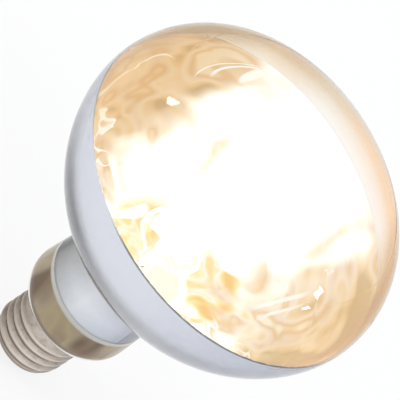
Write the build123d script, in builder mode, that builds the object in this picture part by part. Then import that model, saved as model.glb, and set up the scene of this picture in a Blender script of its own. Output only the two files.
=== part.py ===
from build123d import *
import os
from math import atan2, cos, degrees, radians, sin, sqrt

# Reflector heat bulb on a 27 mm Edison screw cap, in millimetres.
# The lamp stands on its axis: +Z runs from the cap to the clear front, and the origin is
# the lowest point of the centre contact. The leads lie in the XZ plane.

# Blown glass, outside sizes
GLASS_WALL = 1.0
BULB_R = 57.5
CORNER_R = 27.5
DOME_R = 80.0
SHOULDER_HEIGHT = 8.8
NECK_R = 20.0
NECK_END_R = 18.75
NECK_LENGTH = 30.2
FLARE_FILLET_R = 4.8
FLARE_ANGLE = 80.0
FLARE_HEIGHT = 40.6
FLARE_START_PULL = 0.39
FLARE_END_PULL = 0.29
GLASS_IN_CAP_R = 12.2
SHOULDER_GAP = 0.6
SEAL_R = 8.8
SEAL_DEPTH = 7.6
SEAL_HEIGHT = 1.5
TAPER_HEIGHT = 3.6

# Mirror coating, from the shoulder side of the neck to just past the widest ring
COATING = 0.15
COATING_START = 17.2
COATING_PAST_EQUATOR = 1.5

# Screw shell of the cap
COLLAR_R = 13.15
COLLAR_LENGTH = 4.0
CREST_R = 13.1
THREAD_PITCH = 3.629
THREAD_DEPTH = 0.95
THREAD_LENGTH = 15.7
THREAD_FADE = 2.0
RIDGE_WIDTH = 0.96 * THREAD_PITCH
RIDGE_ROOT = 0.5
RIDGE_SINK = 0.15
RIDGE_START = 0.05
CURL_R = 1.8
SHEET = 0.3
OVERCUT = 1.0

# Insulator, contact and solder
INSULATOR_TIP_R = 5.3
INSULATOR_TIP_HEIGHT = 4.6
INSULATOR_WELL_R = 2.6
CONTACT_R = 4.8
CONTACT_SHEET = 0.4
EYELET_R = 1.6
EYELET_BORE_R = 1.2
EYELET_LENGTH = 3.4
SOLDER_R = 2.4
SOLDER_HEIGHT = 0.5
SOLDER_PLUG = 1.0
SIDE_SOLDER_R = 1.2
SIDE_SOLDER_CLEARANCE = 0.05
CEMENT_DEPTH = 3.4

# Stem, with the press that the leads are sealed in
FLARE_TUBE_R = 5.5
STEM_WALL = 1.0
STEM_BEND_HEIGHT = 6.5
STEM_BEND_R = 5.0
PRESS_HEIGHT = 19.5
PRESS_BLEND = 5.5
PRESS_LENGTH = 9.0
PRESS_HALF_WIDTH = 7.0
PRESS_HALF_THICKNESS = 2.6
EXHAUST_R = 2.0
EXHAUST_WALL = 0.6
EXHAUST_TIP_DEPTH = 11.5
ROD_R = 1.5
ROD_EMBED = 3.0
BUTTON_R = 2.6
BUTTON_LENGTH = 3.8
BUTTON_ROUND = 1.0

# Filament and the wires above the press
FILAMENT_HEIGHT = 54.0
FILAMENT_RING_R = 11.0
FILAMENT_R = 0.6
FILAMENT_GAP = 70.0
BUTTON_DROP = 4.2
SUPPORT_COUNT = 5
SUPPORT_R = 0.25
SUPPORT_EMBED = 1.0
LOOP_WALL = 0.35
LOOP_WIDTH = 0.9
LEAD_SPACING = 6.6
LEAD_R = 0.5
LEAD_STRAIGHT = 7.0
LEAD_END_RUN = 3.0
LEAD_BEND_R = 2.0
CLAMP_WALL = 0.5
CLAMP_LENGTH = 2.4
DEFLECTOR_HEIGHT = 37.0
DEFLECTOR_R = 15.5
DEFLECTOR_SHEET = 0.4

# Wires below the press
SEAL_WIRE_R = 0.35
CONTACT_LEAD_R = 0.3
CONTACT_LEAD_BEND_R = 1.2
SHELL_LEAD_R = 0.15
SHELL_LEAD_BEND_R = 0.5
SHELL_LEAD_GAP = 0.1
SHELL_LEAD_DROP = 1.0
SHELL_LEAD_ON_RIM = 0.5
FUSE_R = 1.2
FUSE_LENGTH = 5.0
FUSE_DEPTH = 12.0
FUSE_TO_BEND = 1.0
LEAD_OVER_EYELET = 0.6

# Places that follow from the cap
contact_bottom = SOLDER_HEIGHT
contact_top = contact_bottom + CONTACT_SHEET
curl_bottom = contact_top + INSULATOR_TIP_HEIGHT
thread_start = curl_bottom + CURL_R
thread_end = thread_start + THREAD_LENGTH
cap_rim = thread_end + COLLAR_LENGTH
core_r = CREST_R - THREAD_DEPTH
curl_centre_r = core_r - CURL_R
inner_core_r = core_r - SHEET
collar_bore_r = COLLAR_R - SHEET
fuse_bottom = cap_rim - FUSE_DEPTH - FUSE_LENGTH

# Places that follow from the glass
shoulder_start = cap_rim + SHOULDER_GAP
neck_start = shoulder_start + SHOULDER_HEIGHT
neck_end = neck_start + NECK_LENGTH
seal_bottom = shoulder_start - SEAL_DEPTH
seal_top = seal_bottom + SEAL_HEIGHT
equator = neck_end + FLARE_FILLET_R + FLARE_HEIGHT
dome_centre = equator - sqrt((DOME_R - CORNER_R) ** 2 - (BULB_R - CORNER_R) ** 2)
corner_sweep = degrees(atan2(equator - dome_centre, BULB_R - CORNER_R))

# Places that follow from the stem and the filament
lead_x = LEAD_SPACING / 2
press_bottom = cap_rim + PRESS_HEIGHT
press_flat = press_bottom + PRESS_BLEND
press_top = press_flat + PRESS_LENGTH
filament_z = cap_rim + FILAMENT_HEIGHT
button_z = filament_z - BUTTON_DROP
deflector_z = cap_rim + DEFLECTOR_HEIGHT
filament_arc = 360 - FILAMENT_GAP
SIDES = (("left", -1), ("right", 1))

os.makedirs("parts", exist_ok=True)


def save(piece, label):
    """Label a finished piece and write its STEP file."""
    piece.part.label = label
    export_step(piece.part, f"parts/{label}.step")


def bulb_line(inset):
    """Draw the bulb's line from the cap to the front's middle, set in from the outside face."""
    shoulder = EllipticalCenterArc(
        (GLASS_IN_CAP_R, neck_start),
        NECK_R - GLASS_IN_CAP_R - inset,
        SHOULDER_HEIGHT - inset,
        start_angle=270,
        arc_size=90,
    )
    lean = atan2(NECK_R - NECK_END_R, NECK_LENGTH)
    across = Vector(cos(lean), sin(lean))
    neck_tip = Vector(NECK_END_R, neck_end) - across * inset
    Line(shoulder @ 1, neck_tip)
    turn = CenterArc(
        neck_tip + across * (FLARE_FILLET_R + inset),
        FLARE_FILLET_R + inset,
        180 + degrees(lean),
        -FLARE_ANGLE - degrees(lean),
    )
    start = turn @ 1
    end = Vector(BULB_R - inset, equator)
    span = (end - start).length
    leave = Vector(sin(radians(FLARE_ANGLE)), cos(radians(FLARE_ANGLE)))
    Bezier(
        start,
        start + leave * (FLARE_START_PULL * span),
        end - Vector(0, FLARE_END_PULL * span),
        end,
    )
    CenterArc((BULB_R - CORNER_R, equator), CORNER_R - inset, 0, corner_sweep)
    dome = CenterArc((0, dome_centre), DOME_R - inset, corner_sweep, 90 - corner_sweep)
    return shoulder @ 0, dome @ 1


def glass_line(inset):
    """Draw the whole line of the glass, with the narrow end that is hidden in the cap."""
    neck_r = GLASS_IN_CAP_R - inset
    seal_r = SEAL_R + GLASS_WALL - inset
    if inset > 0:
        CenterArc((GLASS_IN_CAP_R, shoulder_start), inset, 180, -90)
    Polyline(
        (seal_r, seal_bottom),
        (seal_r, seal_top),
        (neck_r, seal_top + TAPER_HEIGHT),
        (neck_r, shoulder_start),
    )
    return bulb_line(inset)[1]


def wire(radius, points, bend_r):
    """Sweep a round wire along straight runs with rounded bends, into the open part."""
    with BuildLine() as route:
        path = FilletPolyline(*points, radius=bend_r)
    with BuildSketch(Plane(path @ 0, z_dir=path % 0)) as section:
        Circle(radius)
    sweep(section.sketch, path=route.wire())


def upright_plane(angle):
    """Give the plane that holds the lamp's axis and points away from it at an angle."""
    outward = Vector(cos(radians(angle)), sin(radians(angle)), 0)
    return Plane((0, 0, 0), x_dir=outward, z_dir=outward.cross(Vector(0, 0, 1)))


# Glass envelope: one blown piece, open only where the stem is fused in
with BuildPart() as glass_envelope:
    with BuildSketch(Plane.XZ):
        with BuildLine():
            outer_tip = glass_line(0)
            inner_tip = glass_line(GLASS_WALL)
            Line(outer_tip, inner_tip)
            Line((SEAL_R + GLASS_WALL, seal_bottom), (SEAL_R, seal_bottom))
        make_face()
    revolve(axis=Axis.Z)
save(glass_envelope, "glass_envelope")

# Mirror coating: the film on the inside of the neck and the reflector
with BuildPart() as mirror_coating:
    with BuildSketch(Plane.XZ):
        with BuildLine():
            outer_start, outer_tip = bulb_line(GLASS_WALL)
            inner_start, inner_tip = bulb_line(GLASS_WALL + COATING)
            Line(outer_start, inner_start)
            Line(outer_tip, inner_tip)
        make_face()
    revolve(axis=Axis.Z)
    split(bisect_by=Plane.XY.offset(shoulder_start + COATING_START), keep=Keep.TOP)
    split(bisect_by=Plane.XY.offset(equator + COATING_PAST_EQUATOR), keep=Keep.BOTTOM)
save(mirror_coating, "mirror_coating")


def thread_ridge(inset):
    """Build the right-hand ridge that winds up the shell, set in from the outside face."""
    trough_r = core_r - inset
    crest_r = CREST_R - inset
    path_r = trough_r - RIDGE_ROOT
    start_z = thread_start + RIDGE_START + inset
    end_z = thread_end + (SHEET + inset) / 2
    fade_top = start_z + THREAD_FADE * (crest_r + OVERCUT - trough_r) / THREAD_DEPTH
    with BuildPart() as ridge:
        with BuildLine():
            path = Helix(
                THREAD_PITCH,
                THREAD_LENGTH + 2 * THREAD_PITCH,
                path_r,
                center=(0, 0, thread_start - THREAD_PITCH),
            )
        with BuildSketch(Plane(path @ 0, x_dir=(1, 0, 0), z_dir=path % 0)):
            with BuildLine():
                half = RIDGE_WIDTH / 2
                foot = RIDGE_ROOT - RIDGE_SINK
                ThreePointArc((foot, -half), (crest_r - path_r, 0), (foot, half))
                Polyline((foot, half), (0, half), (0, -half), (foot, -half))
            make_face()
        sweep(path=path.edge(), is_frenet=True)
        with BuildSketch(Plane.XZ):
            with BuildLine():
                Polyline(
                    (path_r - OVERCUT, start_z),
                    (trough_r, start_z),
                    (crest_r + OVERCUT, fade_top),
                    (crest_r + OVERCUT, end_z),
                    (path_r - OVERCUT, end_z),
                    close=True,
                )
            make_face()
        revolve(axis=Axis.Z, mode=Mode.INTERSECT)
    return ridge.part


def shell_form(inset, top):
    """Build the shell's solid form up to a height, set in from the outside face."""
    with BuildPart() as form:
        with BuildSketch(Plane.XZ):
            with BuildLine():
                curl = CenterArc((curl_centre_r, thread_start), CURL_R - inset, -90, 90)
                Polyline(
                    curl @ 1,
                    (core_r - inset, thread_end + inset),
                    (COLLAR_R - inset, thread_end + inset),
                    (COLLAR_R - inset, top),
                    (0, top),
                    (0, (curl @ 0).Y),
                    curl @ 0,
                )
            make_face()
        revolve(axis=Axis.Z)
        add(thread_ridge(inset))
    return form.part


# Screw shell: sheet metal with its knuckle thread rolled through the wall, and a curled end
with BuildPart() as screw_shell:
    add(shell_form(0, cap_rim))
    add(shell_form(SHEET, cap_rim + OVERCUT), mode=Mode.SUBTRACT)
    with BuildSketch(Plane.XY.offset(curl_bottom)):
        Circle(curl_centre_r)
    extrude(amount=SHEET, mode=Mode.SUBTRACT)
save(screw_shell, "screw_shell")

# Cap insulator: moulded in the end of the shell, with a well for the lead
with BuildPart() as cap_insulator:
    with BuildSketch(Plane.XZ):
        with BuildLine():
            inner_curl = CenterArc((curl_centre_r, thread_start), CURL_R - SHEET, -90, 90)
            Polyline(
                inner_curl @ 0,
                (curl_centre_r, curl_bottom),
                (INSULATOR_TIP_R, contact_top),
                (EYELET_R, contact_top),
                (EYELET_R, contact_top + EYELET_LENGTH),
                (INSULATOR_WELL_R, contact_top + EYELET_LENGTH),
                inner_curl @ 1,
            )
        make_face()
    revolve(axis=Axis.Z)
save(cap_insulator, "cap_insulator")

# Contact lead: from the press down past the exhaust tube and into the contact's eyelet
with BuildPart() as contact_lead:
    wire(
        CONTACT_LEAD_R,
        [
            (lead_x, 0, press_bottom),
            (lead_x, 0, fuse_bottom - FUSE_TO_BEND),
            (0, 0, contact_top + EYELET_LENGTH + LEAD_OVER_EYELET),
            (0, 0, contact_bottom),
        ],
        CONTACT_LEAD_BEND_R,
    )
save(contact_lead, "contact_lead")

# Centre contact: a disc with an eyelet that grips the insulator
with BuildPart() as centre_contact:
    with BuildSketch(Plane.XZ):
        with BuildLine():
            Polyline(
                (EYELET_BORE_R, contact_bottom),
                (CONTACT_R, contact_bottom),
                (CONTACT_R, contact_top),
                (EYELET_R, contact_top),
                (EYELET_R, contact_top + EYELET_LENGTH),
                (EYELET_BORE_R, contact_top + EYELET_LENGTH),
                close=True,
            )
        make_face()
    revolve(axis=Axis.Z)
save(centre_contact, "centre_contact")

# Centre solder: a low dome on the contact, with a plug that fills the eyelet round the lead
dome_solder_r = (SOLDER_R**2 + SOLDER_HEIGHT**2) / (2 * SOLDER_HEIGHT)
with BuildPart() as centre_solder:
    with BuildSketch(Plane.XZ):
        with BuildLine():
            dome = RadiusArc((0, 0), (SOLDER_R, contact_bottom), -dome_solder_r)
            Polyline(
                dome @ 1,
                (EYELET_BORE_R, contact_bottom),
                (EYELET_BORE_R, contact_bottom + SOLDER_PLUG),
                (0, contact_bottom + SOLDER_PLUG),
                dome @ 0,
            )
        make_face()
    revolve(axis=Axis.Z)
    add(contact_lead.part, mode=Mode.SUBTRACT)
save(centre_solder, "centre_solder")

# Fuse: a glass sleeve round the contact lead
with BuildPart() as cap_fuse:
    with Locations((lead_x, 0, fuse_bottom)):
        Cylinder(FUSE_R, FUSE_LENGTH, align=(Align.CENTER, Align.CENTER, Align.MIN))
    fillet(cap_fuse.edges().filter_by(GeomType.CIRCLE), radius=FUSE_R / 3)
    add(contact_lead.part, mode=Mode.SUBTRACT)
save(cap_fuse, "cap_fuse")

# Shell lead: thin wire from the press, out under the seal and up the shell to its rim
shell_lead_r = inner_core_r - SHELL_LEAD_GAP - SHELL_LEAD_R
rim_lead_r = (GLASS_IN_CAP_R + collar_bore_r) / 2
over_rim_z = cap_rim + SHELL_LEAD_R
with BuildPart() as shell_lead:
    wire(
        SHELL_LEAD_R,
        [
            (-lead_x, 0, press_bottom),
            (-lead_x, 0, seal_bottom - 2 * SHELL_LEAD_DROP),
            (-shell_lead_r, 0, seal_bottom - SHELL_LEAD_DROP),
            (-shell_lead_r, 0, seal_top + TAPER_HEIGHT / 2),
            (-rim_lead_r, 0, seal_top + TAPER_HEIGHT),
            (-rim_lead_r, 0, over_rim_z),
            (-COLLAR_R - SHELL_LEAD_ON_RIM, 0, over_rim_z),
        ],
        SHELL_LEAD_BEND_R,
    )
save(shell_lead, "shell_lead")

# Basing cement: fills the collar round the glass, and the gap under the shoulder
with BuildPart() as basing_cement:
    with BuildSketch(Plane.XZ):
        with BuildLine():
            Polyline(
                (GLASS_IN_CAP_R, cap_rim - CEMENT_DEPTH),
                (collar_bore_r, cap_rim - CEMENT_DEPTH),
                (collar_bore_r, shoulder_start),
                (GLASS_IN_CAP_R, shoulder_start),
                close=True,
            )
        make_face()
    revolve(axis=Axis.Z)
    add(glass_envelope.part, mode=Mode.SUBTRACT)
    add(shell_lead.part, mode=Mode.SUBTRACT)
save(basing_cement, "basing_cement")

# Side solder: a bead over the thin lead on the rim, under the glass shoulder
with BuildPart() as side_solder:
    with BuildSketch(Plane.XY.offset(cap_rim)):
        with Locations((-COLLAR_R, 0)):
            Circle(SIDE_SOLDER_R)
    extrude(amount=SHOULDER_GAP - SIDE_SOLDER_CLEARANCE)
    fillet(side_solder.faces().sort_by(Axis.Z)[-1].edges(), radius=SHOULDER_GAP / 3)
    add(basing_cement.part, mode=Mode.SUBTRACT)
    add(glass_envelope.part, mode=Mode.SUBTRACT)
    add(shell_lead.part, mode=Mode.SUBTRACT)
save(side_solder, "side_solder")

# Seal wires: short straight wires held in the press, one under each lead
seal_wires = {}
for side, sign in SIDES:
    with BuildPart() as seal_wire:
        with BuildSketch(Plane.XY.offset(press_bottom)):
            with Locations((sign * lead_x, 0)):
                Circle(SEAL_WIRE_R)
        extrude(amount=press_top - press_bottom)
    save(seal_wire, f"seal_wire_{side}")
    seal_wires[side] = seal_wire.part

# Filament: the coil's outer form, a horseshoe round the lamp's axis
with BuildPart() as filament:
    with BuildSketch(upright_plane(FILAMENT_GAP / 2 - 90)):
        with Locations((FILAMENT_RING_R, filament_z)):
            Circle(FILAMENT_R)
    revolve(axis=Axis.Z, revolution_arc=filament_arc)
save(filament, "filament")


def filament_sleeve(middle_angle, wall, length):
    """Add a short sleeve round the filament to the open part."""
    turn = degrees(length / FILAMENT_RING_R)
    with BuildSketch(upright_plane(middle_angle - turn / 2)) as section:
        with Locations((FILAMENT_RING_R, filament_z)):
            Circle(FILAMENT_R + wall)
    revolve(section.sketch, axis=Axis.Z, revolution_arc=turn)


# Filament supports: wires from the button, each with a loop that the coil lies in
supports = []
for count in range(SUPPORT_COUNT):
    angle = FILAMENT_GAP / 2 - 90 + filament_arc * (count + 1) / (SUPPORT_COUNT + 1)
    radial = upright_plane(angle)
    with BuildPart() as filament_support:
        with BuildLine(radial):
            arm = Line(
                (BUTTON_R - SUPPORT_EMBED, button_z),
                (FILAMENT_RING_R, filament_z - FILAMENT_R - LOOP_WALL / 2),
            )
        with BuildSketch(Plane(arm @ 0, z_dir=arm % 0)):
            Circle(SUPPORT_R)
        sweep(path=arm)
        filament_sleeve(angle, LOOP_WALL, LOOP_WIDTH)
        add(filament.part, mode=Mode.SUBTRACT)
    save(filament_support, f"filament_support_{count + 1}")
    supports.append(filament_support.part)

# Support rod: solid glass with a button, from inside the press up to the supports
with BuildPart() as support_rod:
    with BuildSketch(Plane.XZ) as rod_profile:
        with Locations((0, press_top - ROD_EMBED)):
            Rectangle(ROD_R, button_z - press_top + ROD_EMBED, align=(Align.MIN, Align.MIN))
        with Locations((0, button_z)):
            Rectangle(BUTTON_R, BUTTON_LENGTH, align=(Align.MIN, Align.CENTER))
        fillet(rod_profile.vertices().group_by(Axis.X)[-1], radius=BUTTON_ROUND)
    revolve(axis=Axis.Z)
    for support in supports:
        add(support, mode=Mode.SUBTRACT)
save(support_rod, "support_rod")

# Inner leads: from the press up to clamps on the filament's ends
clamp_angle = FILAMENT_GAP / 2 + degrees(CLAMP_LENGTH / FILAMENT_RING_R) / 2
inner_leads = []
for side, sign in SIDES:
    end_x = sign * FILAMENT_RING_R * sin(radians(clamp_angle))
    end_y = -FILAMENT_RING_R * cos(radians(clamp_angle))
    with BuildPart() as inner_lead:
        wire(
            LEAD_R,
            [
                (sign * lead_x, 0, press_top),
                (sign * lead_x, 0, press_top + LEAD_STRAIGHT),
                (end_x, end_y, filament_z - FILAMENT_R - LEAD_END_RUN),
                (end_x, end_y, filament_z - FILAMENT_R - CLAMP_WALL / 2),
            ],
            LEAD_BEND_R,
        )
        filament_sleeve(sign * clamp_angle - 90, CLAMP_WALL, CLAMP_LENGTH)
        add(filament.part, mode=Mode.SUBTRACT)
    save(inner_lead, f"inner_lead_{side}")
    inner_leads.append(inner_lead.part)

# Heat deflector: a disc in the neck, threaded on the rod and the leads
with BuildPart() as heat_deflector:
    with BuildSketch(Plane.XY.offset(deflector_z)):
        Circle(DEFLECTOR_R)
    extrude(amount=DEFLECTOR_SHEET)
    add(support_rod.part, mode=Mode.SUBTRACT)
    for inner_lead in inner_leads:
        add(inner_lead, mode=Mode.SUBTRACT)
save(heat_deflector, "heat_deflector")

# Glass stem: a flared tube fused to the bulb, closed by the flat press round the leads and rod
with BuildPart() as glass_stem:
    with BuildSketch(Plane.XZ):
        with BuildLine():
            outer = FilletPolyline(
                (SEAL_R, seal_bottom),
                (SEAL_R, seal_top),
                (FLARE_TUBE_R, seal_top + STEM_BEND_HEIGHT),
                (FLARE_TUBE_R, press_bottom),
                radius=STEM_BEND_R,
            )
            inner = FilletPolyline(
                (SEAL_R - STEM_WALL, seal_bottom),
                (SEAL_R - STEM_WALL, seal_top),
                (FLARE_TUBE_R - STEM_WALL, seal_top + STEM_BEND_HEIGHT),
                (FLARE_TUBE_R - STEM_WALL, press_bottom),
                radius=STEM_BEND_R,
            )
            Line(outer @ 0, inner @ 0)
            Line(outer @ 1, inner @ 1)
        make_face()
    revolve(axis=Axis.Z)
    with BuildSketch(Plane.XY.offset(press_bottom)):
        Circle(FLARE_TUBE_R)
    with BuildSketch(Plane.XY.offset(press_flat)):
        Ellipse(PRESS_HALF_WIDTH, PRESS_HALF_THICKNESS)
    loft()
    with BuildSketch(Plane.XY.offset(press_flat)):
        Ellipse(PRESS_HALF_WIDTH, PRESS_HALF_THICKNESS)
    extrude(amount=PRESS_LENGTH)
    add(support_rod.part, mode=Mode.SUBTRACT)
    for seal_wire in seal_wires.values():
        add(seal_wire, mode=Mode.SUBTRACT)
save(glass_stem, "glass_stem")

# Exhaust tube: from the press down the middle of the stem, closed at its tip
exhaust_tip = cap_rim - EXHAUST_TIP_DEPTH
with BuildPart() as exhaust_tube:
    with BuildSketch(Plane.XZ):
        with BuildLine():
            outer_end = CenterArc((0, exhaust_tip + EXHAUST_R), EXHAUST_R, -90, 90)
            bore_r = EXHAUST_R - EXHAUST_WALL
            inner_end = CenterArc((0, exhaust_tip + EXHAUST_R), bore_r, -90, 90)
            Polyline(outer_end @ 1, (EXHAUST_R, press_bottom), (bore_r, press_bottom), inner_end @ 1)
            Line(outer_end @ 0, inner_end @ 0)
        make_face()
    revolve(axis=Axis.Z)
save(exhaust_tube, "exhaust_tube")
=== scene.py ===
from math import cos, pi, radians, sin

import bpy
import numpy as np
from mathutils import Matrix, Vector


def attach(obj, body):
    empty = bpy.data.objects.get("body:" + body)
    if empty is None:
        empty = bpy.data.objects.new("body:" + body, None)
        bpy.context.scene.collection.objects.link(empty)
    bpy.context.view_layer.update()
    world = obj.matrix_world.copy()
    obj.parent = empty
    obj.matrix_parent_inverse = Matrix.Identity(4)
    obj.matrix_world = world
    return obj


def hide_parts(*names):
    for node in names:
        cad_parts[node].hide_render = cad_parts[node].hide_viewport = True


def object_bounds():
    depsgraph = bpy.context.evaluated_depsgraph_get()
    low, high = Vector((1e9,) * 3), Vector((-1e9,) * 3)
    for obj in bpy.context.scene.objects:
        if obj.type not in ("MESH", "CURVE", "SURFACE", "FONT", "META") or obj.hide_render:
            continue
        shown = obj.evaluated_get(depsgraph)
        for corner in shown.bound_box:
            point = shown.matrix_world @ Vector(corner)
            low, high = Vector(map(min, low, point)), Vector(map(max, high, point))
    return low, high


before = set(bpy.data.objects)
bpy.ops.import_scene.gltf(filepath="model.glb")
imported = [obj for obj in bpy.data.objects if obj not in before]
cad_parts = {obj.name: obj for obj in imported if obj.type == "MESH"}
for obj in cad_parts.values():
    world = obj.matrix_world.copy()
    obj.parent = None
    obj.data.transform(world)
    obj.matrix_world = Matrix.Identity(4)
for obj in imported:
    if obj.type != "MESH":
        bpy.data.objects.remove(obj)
cad_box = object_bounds()

# Heights on the lamp's axis, in metres above the lowest point of the cap
THREAD_TOP = 0.0226
SHOULDER = 0.0276
MIRROR_START = 0.0448
BELOW_DEFLECTOR = 0.06
DEFLECTOR_TOP = 0.0644
FILAMENT_HEIGHT = 0.081
MIRROR_END = 0.1135

# Camera, at the photograph's viewing angle; the bearings are taken round the lamp's axis
NEAR_SIDE = radians(-60)
SIDEWAYS = NEAR_SIDE + pi / 2
ELEVATION = radians(40.46)
ROLL = radians(90 - 33.97)
AIM_RIGHT = 0.04214
AIM_UP = 0.03564
DISTANCE = 1.59026
LENS = 450
FAR_CLIP = 20

back = Vector((cos(ELEVATION) * cos(NEAR_SIDE), cos(ELEVATION) * sin(NEAR_SIDE), sin(ELEVATION)))
level_right = Vector((-sin(NEAR_SIDE), cos(NEAR_SIDE), 0))
level_up = back.cross(level_right)
right = cos(ROLL) * level_right + sin(ROLL) * level_up
up = -sin(ROLL) * level_right + cos(ROLL) * level_up
eye = Vector((0, 0, SHOULDER)) + AIM_RIGHT * right + AIM_UP * up + DISTANCE * back
camera = bpy.data.objects.new("camera", bpy.data.cameras.new("camera"))
bpy.context.collection.objects.link(camera)
camera.data.lens = LENS
camera.data.clip_end = FAR_CLIP
camera.matrix_world = Matrix.Translation(eye) @ Matrix((right, up, back)).transposed().to_4x4()
bpy.context.scene.camera = camera
bpy.context.scene.view_settings.view_transform = "Standard"


class Graph:
    """A material's or the world's nodes, added one by one."""

    def __init__(self, owner):
        owner.use_nodes = True
        self.owner = owner
        self.tree = owner.node_tree
        self.tree.nodes.clear()
        if isinstance(owner, bpy.types.Material):
            self.spot = self.add("ShaderNodeTexCoord").outputs["Object"]
            self.x, self.y, self.z = self.add("ShaderNodeSeparateXYZ", {0: self.spot}).outputs

    def add(self, kind, inputs=(), **settings):
        """Add a node; an input is a number, a colour or another node's output."""
        node = self.tree.nodes.new(kind)
        for key, value in settings.items():
            setattr(node, key, value)
        for key, value in dict(inputs).items():
            if isinstance(value, bpy.types.NodeSocket):
                self.tree.links.new(value, node.inputs[key])
            else:
                node.inputs[key].default_value = value
        return node

    def math(self, operation, *values):
        return self.add("ShaderNodeMath", dict(enumerate(values)), operation=operation).outputs[0]

    def plus(self, first, second):
        return self.math("ADD", first, second)

    def minus(self, first, second):
        return self.math("SUBTRACT", first, second)

    def times(self, first, *others):
        for other in others:
            first = self.math("MULTIPLY", first, other)
        return first

    def between(self, value, low, high):
        """Go smoothly from 0 at low to 1 at high."""
        inputs = {"Value": value, "From Min": low, "From Max": high}
        return self.add("ShaderNodeMapRange", inputs, interpolation_type="SMOOTHSTEP").outputs["Result"]

    def scaled(self, value, start, end, low=0.0, high=1.0):
        """Go evenly from start to end while the value goes from low to high."""
        inputs = {"Value": value, "From Min": low, "From Max": high, "To Min": start, "To Max": end}
        return self.add("ShaderNodeMapRange", inputs).outputs["Result"]

    def mix(self, factor, first, second):
        node = self.add("ShaderNodeMix", {0: factor, 6: first, 7: second}, data_type="RGBA")
        return node.outputs[2]

    def tinted(self, colour, tint):
        """Multiply one colour by another."""
        inputs = {0: 1.0, 6: colour, 7: tint}
        return self.add("ShaderNodeMix", inputs, data_type="RGBA", blend_type="MULTIPLY").outputs[2]

    def ramp(self, value, stops):
        node = self.add("ShaderNodeValToRGB", {"Fac": value})
        elements = node.color_ramp.elements
        elements[0].position, elements[0].color = stops[0]
        elements[1].position, elements[1].color = stops[-1]
        for place, colour in stops[1:-1]:
            elements.new(place).color = colour
        return node.outputs["Color"]

    def noise(self, vector, scale, detail=3.0, distortion=0.0):
        inputs = {"Vector": vector, "Scale": scale, "Detail": detail, "Distortion": distortion}
        return self.add("ShaderNodeTexNoise", inputs).outputs["Fac"]

    def radius(self):
        """Measure how far a point lies from the lamp's axis."""
        return self.math("SQRT", self.plus(self.times(self.x, self.x), self.times(self.y, self.y)))

    def toward(self, bearing):
        """Measure how far a point lies from the lamp's axis toward a bearing."""
        return self.plus(self.times(self.x, cos(bearing)), self.times(self.y, sin(bearing)))

    def streaks(self, turn, climb, detail, distortion):
        """Make noise in streaks round the lamp's axis; more turn or climb makes them finer."""
        radius = self.radius()
        inputs = {
            0: self.times(self.math("DIVIDE", self.x, radius), turn),
            1: self.times(self.math("DIVIDE", self.y, radius), turn),
            2: self.times(self.plus(self.z, radius), climb),
        }
        return self.noise(self.add("ShaderNodeCombineXYZ", inputs).outputs[0], 1.0, detail, distortion)

    def bump(self, height, distance):
        return self.add("ShaderNodeBump", {"Height": height, "Distance": distance}).outputs["Normal"]

    def facing_in(self):
        """Tell the faces that look toward the lamp's axis from those that look away."""
        hit = self.add("ShaderNodeNewGeometry").outputs
        flat = self.add("ShaderNodeVectorMath", {0: self.spot, 1: (1, 1, 0)}, operation="MULTIPLY").outputs[0]
        dot = self.add("ShaderNodeVectorMath", {0: hit["Normal"], 1: flat}, operation="DOT_PRODUCT")
        seen_inward = self.math("LESS_THAN", dot.outputs["Value"], 0.0)
        return self.math("ABSOLUTE", self.minus(seen_inward, hit["Backfacing"]))

    def seen(self):
        """Tell the rays that show this, also in gloss or through glass, from those that carry its light."""
        paths = self.add("ShaderNodeLightPath").outputs
        indirectly = self.math("MAXIMUM", paths["Is Glossy Ray"], paths["Is Transmission Ray"])
        return self.math("MAXIMUM", paths["Is Camera Ray"], indirectly)

    def surface(self, shader):
        world = isinstance(self.owner, bpy.types.World)
        output = self.add("ShaderNodeOutputWorld" if world else "ShaderNodeOutputMaterial")
        self.tree.links.new(shader, output.inputs["Surface"])
        return self.owner

    def principled(self, inputs):
        return self.surface(self.add("ShaderNodeBsdfPrincipled", inputs).outputs[0])


def rgb(red, green, blue):
    """Give a colour from the usual 0 to 255 values."""
    parts = [value / 255 for value in (red, green, blue)]
    return tuple(p / 12.92 if p <= 0.04045 else ((p + 0.055) / 1.055) ** 2.4 for p in parts) + (1.0,)


def material(name):
    return Graph(bpy.data.materials.new(name))


def dress(look, *nodes):
    """Give CAD nodes their material."""
    for node in nodes:
        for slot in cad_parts[node].material_slots:
            slot.material = look


WHITE = rgb(255, 255, 255)
UNLIT = rgb(0, 0, 0)
GLASS_IOR = 1.45

# Colours along ramps, each with its place from 0 to 1
# Painted glow, seen through the front glass
AMBER = (
    (0.34, rgb(226, 212, 184)),
    (0.45, rgb(246, 232, 208)),
    (0.54, rgb(238, 222, 194)),
    (0.66, rgb(255, 246, 230)),
)
HAZE = (
    (0.3, rgb(124, 106, 91)),
    (0.4, rgb(150, 134, 114)),
    (0.5, rgb(167, 153, 132)),
    (0.6, rgb(176, 161, 130)),
    (0.7, rgb(160, 144, 122)),
)
# Tan of the filament's light on the mirror's sides
TAN = (
    (0.36, rgb(216, 190, 146)),
    (0.42, rgb(244, 218, 176)),
    (0.48, rgb(252, 236, 212)),
    (0.52, rgb(246, 228, 208)),
    (0.57, rgb(238, 206, 160)),
    (0.64, rgb(254, 242, 220)),
)
# Gold of the filament's light, low in the mirror and on the deflector
GOLD = (
    (0.34, rgb(246, 200, 118)),
    (0.44, rgb(253, 226, 154)),
    (0.52, rgb(255, 244, 200)),
    (0.58, rgb(255, 252, 238)),
    (0.66, rgb(252, 226, 160)),
)
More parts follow.
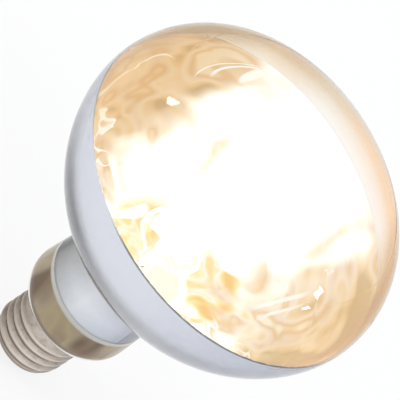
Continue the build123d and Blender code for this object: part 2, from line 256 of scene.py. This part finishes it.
# From the mirror's start on the neck, over the flare, to its end, with a band of painted shade where the
# flare leaves the neck
SILVER = (
    (0.0, rgb(188, 189, 191)),
    (0.014, rgb(216, 218, 221)),
    (0.12, rgb(230, 232, 236)),
    (0.27, rgb(210, 212, 216)),
    (0.33, rgb(100, 101, 103)),
    (0.385, rgb(104, 104, 106)),
    (0.41, rgb(160, 158, 156)),
    (0.435, rgb(136, 137, 141)),
    (0.5, rgb(222, 224, 230)),
    (0.75, rgb(232, 234, 241)),
    (1.0, rgb(226, 228, 235)),
)
# From one side of the lamp to the other
NECK_SHADE = (
    (0.0, rgb(166, 164, 156)),
    (0.25, rgb(218, 218, 216)),
    (0.5, rgb(255, 255, 255)),
    (0.8, rgb(236, 238, 244)),
    (1.0, rgb(206, 208, 214)),
)
# Painted shade across the cap, from one side of the lamp to the other
CAP_SHADE = (
    (0.0, rgb(168, 160, 150)),
    (0.2, rgb(214, 209, 203)),
    (0.45, rgb(242, 239, 236)),
    (0.68, rgb(255, 253, 250)),
    (0.9, rgb(236, 234, 232)),
    (1.0, rgb(196, 194, 192)),
)


def front_glow_tint(g, side, edge):
    """Tint the domed front with painted glow: clear in the middle and amber at its sides, with painted shade
    where the sides are seen edge-on, and peach at its edge.
    """
    aside = g.math("ABSOLUTE", side)
    rings = g.streaks(1.1, 170, 1, 0.2)
    flow = g.streaks(1.2, 45, 0, 0.5)
    # Painted glow: amber streaks at the sides, a warm patch on the far side, clear in the middle
    amber = g.ramp(g.plus(g.times(rings, 0.4), g.times(flow, 0.6)), AMBER)
    far = g.times(g.between(g.toward(NEAR_SIDE), -0.012, -0.034), g.between(side, -0.006, -0.028))
    middle = g.mix(far, rgb(255, 254, 252), rgb(250, 237, 216))
    tint = g.mix(g.between(aside, 0.03, 0.05), middle, amber)
    # Painted shade: greyer tan where the sides are seen edge-on
    dull = g.times(g.between(aside, 0.03, 0.052), g.between(edge, 0.4, 0.7))
    tint = g.mix(dull, tint, rgb(208, 198, 174))
    rim = g.mix(g.between(side, -0.015, 0.015), rgb(196, 168, 124), rgb(232, 180, 120))
    peach = g.mix(g.between(edge, 0.44, 0.76), WHITE, rim)
    return g.tinted(tint, peach)


def mirrored_tint_and_shade(g, side, edge):
    """Leave the glass over the mirror clear, but with painted shade: grey where it is seen edge-on, stronger
    on one side and fading out toward the mirror's end.
    """
    one_side = g.scaled(side, 1.0, 0.5, -0.02, 0.02)
    grazing = g.times(g.between(edge, 0.51, 0.7), g.between(g.z, 0.113, 0.096), one_side)
    return g.mix(grazing, rgb(252, 253, 255), rgb(64, 65, 70))


def shoulder_tint_and_highlight(g, edge, past_haze):
    """Tint the bare shoulder in tan patches that fade to a pale band, with a painted dark line and a painted
    highlight on its edge next to the cap.
    """
    tint = g.ramp(g.streaks(2.4, 40, 1, 0.2), HAZE)
    tint = g.mix(g.between(past_haze, -0.0019, -0.0009), tint, rgb(202, 201, 196))
    near_cap = g.between(g.z, 0.036, 0.033)
    # Painted shade: a dark line near the cap where the shoulder turns edge-on
    tint = g.mix(g.times(g.between(edge, 0.4, 0.56), near_cap), tint, rgb(126, 114, 102))
    # Painted highlight: a bright line at the very edge next to the cap
    return g.mix(g.times(g.between(edge, 0.66, 0.76), near_cap), tint, rgb(255, 250, 244))


def blown_glass():
    """Clear glass with a brown metallic haze on the shoulder, and no inner wall next to the mirror."""
    g = material("blown_glass")
    side = g.toward(SIDEWAYS)
    edge = g.add("ShaderNodeLayerWeight", {"Blend": 0.5}).outputs["Facing"]
    end_of_haze = g.plus(MIRROR_START + 0.0006, g.times(side, side, 2.0))
    past_haze = g.minus(g.z, end_of_haze)
    on_shoulder = g.between(past_haze, 0.0004, -0.0002)
    on_front = g.between(g.z, MIRROR_END - 0.0004, MIRROR_END + 0.0006)
    # Painted glow on the front and painted edge shade over the mirror, in the glass's colour
    clear = g.mix(on_front, mirrored_tint_and_shade(g, side, edge), front_glow_tint(g, side, edge))
    from_outside = g.minus(1.0, g.add("ShaderNodeNewGeometry").outputs["Backfacing"])
    over_mirror = g.times(g.math("GREATER_THAN", g.z, MIRROR_START), g.math("LESS_THAN", g.z, MIRROR_END))
    return g.principled({
        "Base Color": g.mix(on_shoulder, clear, shoulder_tint_and_highlight(g, edge, past_haze)),
        "Roughness": g.times(on_shoulder, 0.2),
        "Metallic": g.times(on_shoulder, 0.85, from_outside),
        "Transmission Weight": 1.0,
        "IOR": GLASS_IOR,
        "Alpha": g.minus(1.0, g.times(g.facing_in(), over_mirror)),
    })


# Painted reflections of the filament, bright swirls on the inside of the mirror, in metres: where each turns
# (side, height), bend, width and ends
SWIRLS = (
    (-0.0286, 0.0955, 60, 0.0014, 0.086, 0.109),
    (-0.0362, 0.1005, 85, 0.0007, 0.100, 0.112),
    (-0.0395, 0.0985, 70, 0.0004, 0.098, 0.112),
    (0.0262, 0.0860, -22, 0.0008, 0.085, 0.108),
    (0.0370, 0.0890, -49, 0.0008, 0.079, 0.090),
    (0.0395, 0.0880, -60, 0.0006, 0.0805, 0.089),
)


def swirl(g, side, sway, turn_side, turn_z, bend, width, low_end, high_end):
    """Draw one swirl, a parabola over the height, with soft edges and ends."""
    rise = g.minus(g.z, turn_z)
    centre = g.plus(turn_side, g.times(rise, rise, bend))
    off = g.math("ABSOLUTE", g.plus(g.minus(side, centre), sway))
    from_below = g.between(g.z, low_end - 0.002, low_end + 0.001)
    from_above = g.between(g.z, high_end + 0.001, high_end - 0.003)
    return g.times(g.between(off, width, width * 0.3), from_below, from_above)


# Painted reflections of the filament on the mirror's inside: thin bright lines and swirls
def painted_reflections(g, side):
    """Draw thin wandering lines all round, and the swirls on the half away from the photograph's camera."""
    wander = g.math("ABSOLUTE", g.minus(g.streaks(1.5, 38, 1, 1.2), 0.5))
    thin = g.between(g.noise(g.spot, 30, 0), 0.48, 0.62)
    lines = g.between(wander, g.times(thin, 0.026), g.times(thin, 0.006))
    on_far_half = g.math("LESS_THAN", g.toward(NEAR_SIDE), 0.0)
    sway = g.times(g.minus(g.noise(g.spot, 45, 1), 0.5), 0.006)
    for shape in SWIRLS:
        lines = g.math("MAXIMUM", lines, g.times(swirl(g, side, sway, *shape), on_far_half))
    return lines


def streaked_tan(g, side, fold):
    """Mix streaks into the tan of the filament's light on the mirror's sides, finer near its end, with
    painted shade on one side.
    """
    flow = g.streaks(1.5, 60, 1, 1.1)
    rings = g.streaks(1.2, 190, 1, 0.3)
    broad = g.plus(g.times(flow, 0.55), g.times(fold, 0.45))
    fine = g.times(g.minus(rings, 0.5), g.between(g.z, 0.096, 0.108), 0.45)
    dusk = g.mix(g.between(side, -0.02, -0.034), WHITE, rgb(240, 228, 206))
    return g.tinted(g.ramp(g.plus(broad, fine), TAN), dusk)


def inner_glow(g, side):
    """Give the colour and strength of the filament's light on the mirror: white, gold low down, tan aside."""
    aside = g.math("ABSOLUTE", side)
    fold = g.streaks(2.2, 34, 0, 1.4)
    at_sides = g.between(g.plus(aside, g.times(g.minus(fold, 0.5), 0.04)), 0.02, 0.036)
    patch = g.between(g.noise(g.spot, 60, 1, 0.8), 0.44, 0.54)
    tilted = g.minus(g.z, g.times(side, 0.18))
    low = g.times(g.between(tilted, 0.077, 0.070), g.between(aside, 0.006, 0.011), patch)
    heart = g.mix(low, rgb(255, 253, 244), g.ramp(g.noise(g.spot, 75, 1, 1.2), GOLD))
    colour = g.mix(at_sides, heart, streaked_tan(g, side, fold))
    colour = g.mix(g.times(painted_reflections(g, side), at_sides), colour, rgb(255, 253, 246))
    return colour, g.scaled(g.math("MAXIMUM", at_sides, low), 1.35, 0.98)


def silver_with_painted_shade(g, side):
    """Shade the mirror's pale outside with painted shade: a thin dark line at its end on one side, a dark
    band where the flare leaves the neck, a rounder neck and a dimmer, bluer side.
    """
    climb = g.scaled(g.z, 0.0, 1.0, MIRROR_START, MIRROR_END)
    # Painted shade: a thin dark line at the mirror's end, on one side only
    end_line = g.times(g.between(climb, 0.986, 0.998), g.between(side, -0.02, -0.004))
    silver = g.mix(end_line, g.ramp(climb, SILVER), rgb(116, 116, 122))
    # Painted shade round the neck, and a dimmer, bluer lower side
    on_neck = g.between(g.z, 0.070, 0.062)
    shade = g.mix(on_neck, WHITE, g.ramp(g.scaled(side, 0.0, 1.0, -0.02, 0.02), NECK_SHADE))
    lower = g.times(g.between(side, 0.0, 0.05), 0.5)
    return g.tinted(silver, g.mix(lower, shade, rgb(206, 210, 222)))


def mirror_film():
    """Silver from outside; the inside, with the far half of the film's end, carries the filament's light."""
    g = material("mirror_film")
    side = g.toward(SIDEWAYS)
    at_end = g.math("GREATER_THAN", g.z, MIRROR_END - 0.00002)
    far_end = g.times(at_end, g.between(g.toward(NEAR_SIDE), 0.01, -0.01))
    inside = g.math("MAXIMUM", g.facing_in(), far_end)
    glow, strength = inner_glow(g, side)
    return g.principled({
        "Base Color": g.mix(inside, silver_with_painted_shade(g, side), rgb(70, 62, 52)),
        "Roughness": 0.22,
        "Metallic": 1.0,
        "Emission Color": g.mix(inside, UNLIT, glow),
        "Emission Strength": strength,
    })


def nickel_cap():
    """Nickel plate: painted shade in the thread's grooves, brighter crests, faint turning lines, and painted
    shade at its sides, darkest on one side.
    """
    g = material("nickel_cap")
    radius = g.radius()
    cloud = g.noise(g.spot, 260, 4, 0.8)
    colour = g.ramp(cloud, ((0.3, rgb(172, 162, 153)), (0.6, rgb(206, 198, 190))))
    in_thread = g.between(g.z, THREAD_TOP + 0.0006, THREAD_TOP)
    # Painted shade deep in the thread's grooves; the crests are brighter
    groove_shade = g.times(in_thread, g.between(radius, 0.0129, 0.0122))
    bright_crest = g.times(in_thread, g.between(radius, 0.01295, 0.01309))
    colour = g.mix(bright_crest, g.mix(groove_shade, colour, rgb(162, 151, 141)), rgb(220, 213, 206))
    cap_shade = g.ramp(g.scaled(g.toward(SIDEWAYS), 0.0, 1.0, -0.013, 0.013), CAP_SHADE)
    turned = g.add("ShaderNodeMapping", {"Vector": g.spot, "Scale": (30, 30, 5000)}).outputs[0]
    return g.principled({
        "Base Color": g.tinted(colour, cap_shade),
        "Roughness": g.scaled(cloud, 0.18, 0.34),
        "Metallic": 1.0,
        "Normal": g.bump(g.noise(turned, 1.0, 2), 0.00003),
    })


def stem_glass():
    """Clear glass with faint draw streaks, washed out by the filament's light above the deflector."""
    g = material("stem_glass")
    lit = g.between(g.z, DEFLECTOR_TOP, DEFLECTOR_TOP + 0.003)
    return g.principled({
        "Base Color": g.mix(g.noise(g.spot, 120, 3, 1.5), rgb(233, 241, 236), WHITE),
        "Roughness": 0.02,
        "Transmission Weight": 1.0,
        "IOR": GLASS_IOR,
        "Emission Color": g.mix(lit, UNLIT, rgb(255, 246, 222)),
        "Emission Strength": 0.9,
    })


def metal(name, light, dark, roughness, grain, dents=0.0, lit_from=None, gold=False):
    """Blotches of two shades; above lit_from the filament's light washes the metal out, some of it gold."""
    g = material(name)
    cloud = g.noise(g.spot, grain, 4, 0.6)
    inputs = {
        "Base Color": g.ramp(cloud, ((0.3, dark), (0.65, light))),
        "Roughness": g.scaled(cloud, roughness * 0.7, roughness * 1.4),
        "Metallic": 1.0,
    }
    if dents:
        inputs["Normal"] = g.bump(g.noise(g.spot, grain * 3, 3), dents)
    if lit_from:
        lit = g.between(g.z, lit_from, lit_from + 0.0001)
        washed = rgb(255, 252, 240)
        if gold:
            inputs["Base Color"] = g.mix(lit, inputs["Base Color"], rgb(128, 108, 70))
            patches = g.ramp(g.minus(g.noise(g.spot, 90, 1, 1.6), 0.04), GOLD)
            white_side = g.between(g.toward(SIDEWAYS), -0.007, 0.001)
            washed = g.mix(white_side, patches, rgb(255, 253, 244))
        inputs["Emission Color"] = g.mix(lit, UNLIT, washed)
        inputs["Emission Strength"] = 0.85
    return g.principled(inputs)


def cement():
    """Basing cement, gritty and baked."""
    g = material("cement")
    grit = g.noise(g.spot, 1800, 4)
    return g.principled({
        "Base Color": g.ramp(grit, ((0.35, rgb(148, 134, 114)), (0.65, rgb(190, 176, 154)))),
        "Roughness": 0.85,
        "Normal": g.bump(grit, 0.0001),
    })


def vitrite():
    """Glossy black moulded glass."""
    g = material("vitrite")
    cloud = g.noise(g.spot, 400, 3)
    return g.principled({
        "Base Color": g.ramp(cloud, ((0.3, rgb(28, 28, 32)), (0.7, rgb(52, 50, 56)))),
        "Roughness": g.scaled(cloud, 0.08, 0.2),
        "Normal": g.bump(cloud, 0.00005),
    })


def hot_tungsten():
    """Tungsten wire at white heat, a little cooler in places."""
    g = material("hot_tungsten")
    heat = g.ramp(g.noise(g.spot, 300, 2), ((0.3, rgb(255, 221, 166)), (0.6, rgb(255, 241, 212))))
    return g.principled({
        "Base Color": heat,
        "Roughness": 0.4,
        "Metallic": 1.0,
        "Emission Color": heat,
        "Emission Strength": 6.0,
    })


dress(blown_glass(), "glass_envelope")
dress(mirror_film(), "mirror_coating")
dress(nickel_cap(), "screw_shell")
dress(stem_glass(), "glass_stem", "exhaust_tube", "support_rod", "cap_fuse")
nickel = metal("nickel_wire", rgb(212, 208, 200), rgb(170, 164, 156), 0.3, 700, lit_from=DEFLECTOR_TOP)
dress(nickel, "inner_lead_left", "inner_lead_right")
copper = metal("copper_wire", rgb(224, 180, 150), rgb(176, 132, 106), 0.35, 700)
dress(copper, "seal_wire_left", "seal_wire_right", "contact_lead", "shell_lead")
molybdenum = metal("molybdenum", rgb(196, 193, 190), rgb(156, 152, 150), 0.35, 900, lit_from=DEFLECTOR_TOP)
dress(molybdenum, *(f"filament_support_{count}" for count in range(1, 6)))
bright = rgb(232, 229, 224)
dull = rgb(202, 198, 190)
sheet = metal("deflector_sheet", bright, dull, 0.25, 150, 0.00005, lit_from=BELOW_DEFLECTOR, gold=True)
dress(sheet, "heat_deflector")
dress(metal("contact_brass", rgb(220, 198, 156), rgb(186, 164, 122), 0.3, 500, 0.00003), "centre_contact")
solder = metal("solder", rgb(218, 218, 219), rgb(178, 178, 180), 0.38, 600, 0.0001)
dress(solder, "centre_solder", "side_solder")
dress(cement(), "basing_cement")
dress(vitrite(), "cap_insulator")


def tube(name, points, radius, sides):
    """Build a closed round tube along points, as one mesh."""
    along = np.gradient(points, axis=0)
    along /= np.linalg.norm(along, axis=1)[:, None]
    across = np.cross(along, (0.0, 0.0, 1.0))
    across /= np.linalg.norm(across, axis=1)[:, None]
    over = np.cross(across, along)
    turn = np.linspace(0, 2 * pi, sides, endpoint=False)[None, :, None]
    ring = np.cos(turn) * across[:, None] + np.sin(turn) * over[:, None]
    verts = (points[:, None] + radius * ring).reshape(-1, 3)
    faces = []
    for row in range(len(points) - 1):
        for k in range(sides):
            a = row * sides + k
            b = row * sides + (k + 1) % sides
            faces.append((a, a + sides, b + sides, b))
    faces.append(tuple(range(sides)))
    faces.append(tuple(range(len(verts) - 1, len(verts) - sides - 1, -1)))
    mesh = bpy.data.meshes.new(name)
    mesh.from_pydata(verts.tolist(), [], faces)
    mesh.polygons.foreach_set("use_smooth", [True] * len(mesh.polygons))
    mesh.update()
    piece = bpy.data.objects.new(name, mesh)
    bpy.context.collection.objects.link(piece)
    return piece


# Filament: the coiled tungsten wire, in place of the CAD node's plain horseshoe, in metres
RING_R = 0.011
COIL_R = 0.00052
WIRE_R = 0.00008
GAP = radians(70)
TURNS = 150
STEPS_PER_TURN = 14
WIRE_SIDES = 6

t = np.linspace(0, 1, TURNS * STEPS_PER_TURN)
bearing = GAP / 2 - pi / 2 + t * (2 * pi - GAP)
wind = t * TURNS * 2 * pi
reach = RING_R + COIL_R * np.cos(wind)
height = FILAMENT_HEIGHT + COIL_R * np.sin(wind)
coil = np.stack([reach * np.cos(bearing), reach * np.sin(bearing), height], axis=1)
filament = tube("filament_coil", coil, WIRE_R, WIRE_SIDES)
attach(filament, "root")
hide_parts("filament")
filament.data.materials.append(hot_tungsten())

# Floor, plain and pale: nearly white to the camera, and it keeps the lamp's shadow
FLOOR_REACH = 3.0
WHITE_SHARE = 0.8


def floor_look():
    g = material("floor")
    pale = g.mix(g.noise(g.spot, 3), rgb(244, 244, 244), rgb(248, 248, 248))
    diffuse = g.add("ShaderNodeBsdfDiffuse", {"Color": pale}).outputs[0]
    white = g.add("ShaderNodeEmission", {"Color": WHITE, "Strength": 1.0}).outputs[0]
    share = g.times(g.seen(), WHITE_SHARE)
    return g.surface(g.add("ShaderNodeMixShader", {0: share, 1: diffuse, 2: white}).outputs[0])


corners = [(x * FLOOR_REACH, y * FLOOR_REACH, 0) for x, y in ((-1, -1), (1, -1), (1, 1), (-1, 1))]
mesh = bpy.data.meshes.new("floor")
mesh.from_pydata(corners, [], [(0, 1, 2, 3)])
mesh.materials.append(floor_look())
floor = bpy.data.objects.new("floor", mesh)
floor.location.z = cad_box[0][2]
bpy.context.collection.objects.link(floor)

# World: white where it is seen, and a little cooler and dimmer as light
world = bpy.data.worlds.new("world")
bpy.context.scene.world = world
g = Graph(world)
sky = g.mix(g.seen(), rgb(236, 238, 240), WHITE)
g.surface(g.add("ShaderNodeBackground", {"Color": sky, "Strength": 1.0}).outputs[0])

# Soft lamps: place by the camera's axes, width, height, power, and whether it shows in the glass and metal
LAMPS = {
    "key": ((-0.6, 0.9, 0.8), 0.5, 0.5, 5.0, False),
    "fill": ((0.9, -0.3, 0.9), 0.4, 0.4, 2.5, False),
    "window_above": ((0.21, 1.42, 0.4), 0.07, 0.13, 0.5, True),
    "window_right": ((1.46, -0.3, 0.2), 0.11, 0.07, 0.8, True),
    "window_low": ((1.38, -0.56, 0.32), 0.1, 0.04, 0.3, True),
}
LIT_SPOT = Vector((0, 0, 0.08))


def soft_lamp(name, offset, width, height, power, mirrored):
    """Hang a lamp that points at the bulb."""
    lamp = bpy.data.objects.new(name, bpy.data.lights.new(name, "AREA"))
    lamp.data.shape = "RECTANGLE"
    lamp.data.size = width
    lamp.data.size_y = height
    lamp.data.energy = power
    lamp.visible_glossy = mirrored
    lamp.visible_transmission = mirrored
    lamp.location = LIT_SPOT + offset[0] * right + offset[1] * up + offset[2] * back
    lamp.rotation_euler = (lamp.location - LIT_SPOT).to_track_quat("Z", "Y").to_euler()
    bpy.context.collection.objects.link(lamp)


for name, settings in LAMPS.items():
    soft_lamp(name, *settings)
